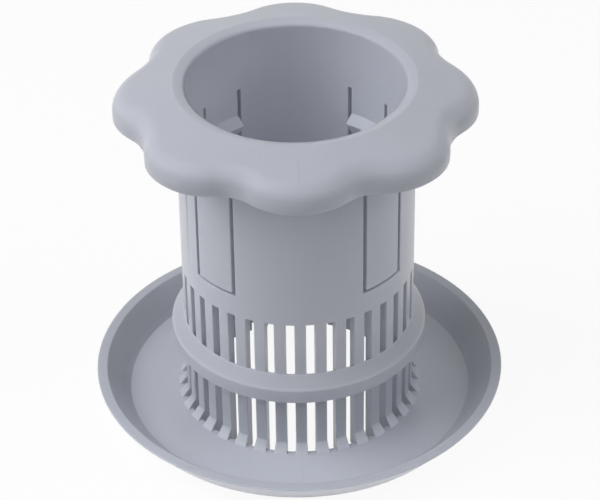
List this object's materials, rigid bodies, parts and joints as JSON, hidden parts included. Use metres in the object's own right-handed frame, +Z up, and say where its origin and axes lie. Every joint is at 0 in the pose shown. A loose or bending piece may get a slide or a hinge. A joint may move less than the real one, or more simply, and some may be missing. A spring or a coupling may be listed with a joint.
{
  "type": "drain filter",
  "caption": "One-piece moulded drain filter: a slotted strainer tube rises from a shallow round dish to a lobed hand grip, with snap fingers cut in the tube's wall.",
  "frame": {"origin": "centre of the dish's flat underside", "axes": "+Z up along the tube's axis to the mouth; +X and +Y each run through the tip of a grip lobe, and -Y is the side that the picture shows"},
  "size_m": [0.118, 0.118, 0.1057],
  "materials": {
    "grey_plastic": "satin blue-grey polypropylene, lightly mottled"
  },
  "bodies": {
    "root": {"filter_body": "grey_plastic"}
  },
  "joints": []
}
